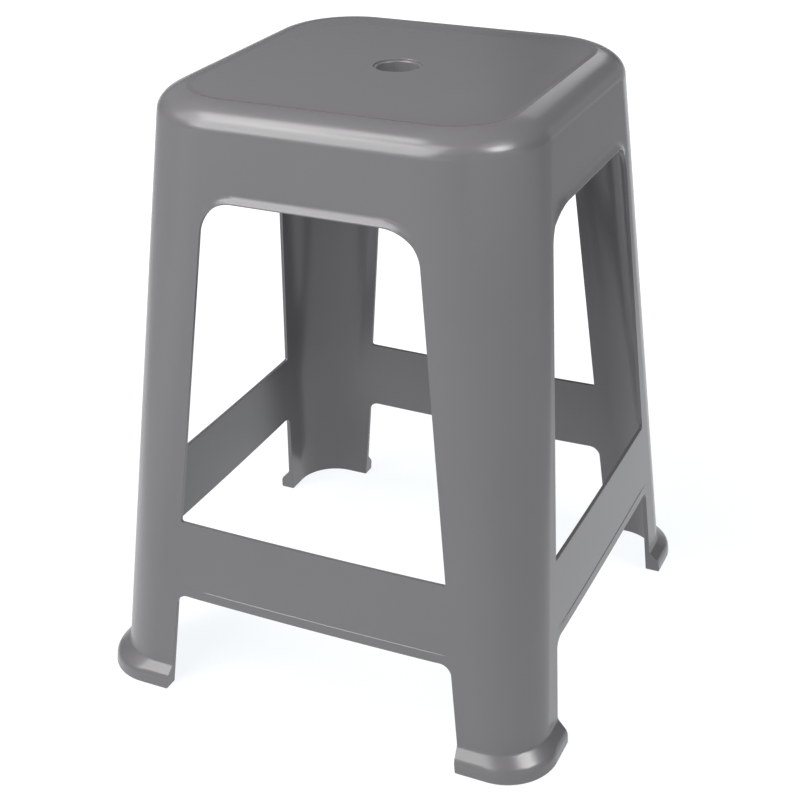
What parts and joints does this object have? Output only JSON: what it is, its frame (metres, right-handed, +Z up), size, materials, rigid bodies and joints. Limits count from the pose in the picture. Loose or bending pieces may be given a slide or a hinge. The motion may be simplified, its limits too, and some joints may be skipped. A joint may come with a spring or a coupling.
{
  "type": "stacking stool",
  "caption": "Square stacking stool moulded as one drafted shell, with corner legs, stretchers, flared cored feet with anti-slip pads, and a finger hole in the seat.",
  "frame": {"origin": "on the floor, under the centre of the seat", "axes": "+Z up, -Y towards the front, +X to the right seen from the front; all four sides are alike"},
  "size_m": [0.3626, 0.3626, 0.4475],
  "materials": {
    "polypropylene": "injection-moulded polypropylene, satin",
    "elastomer": "moulded thermoplastic elastomer, matt"
  },
  "bodies": {
    "root": {"stool_body": "polypropylene", "foot_pad_front_left": "elastomer", "foot_pad_front_right": "elastomer", "foot_pad_back_left": "elastomer", "foot_pad_back_right": "elastomer"}
  },
  "joints": []
}
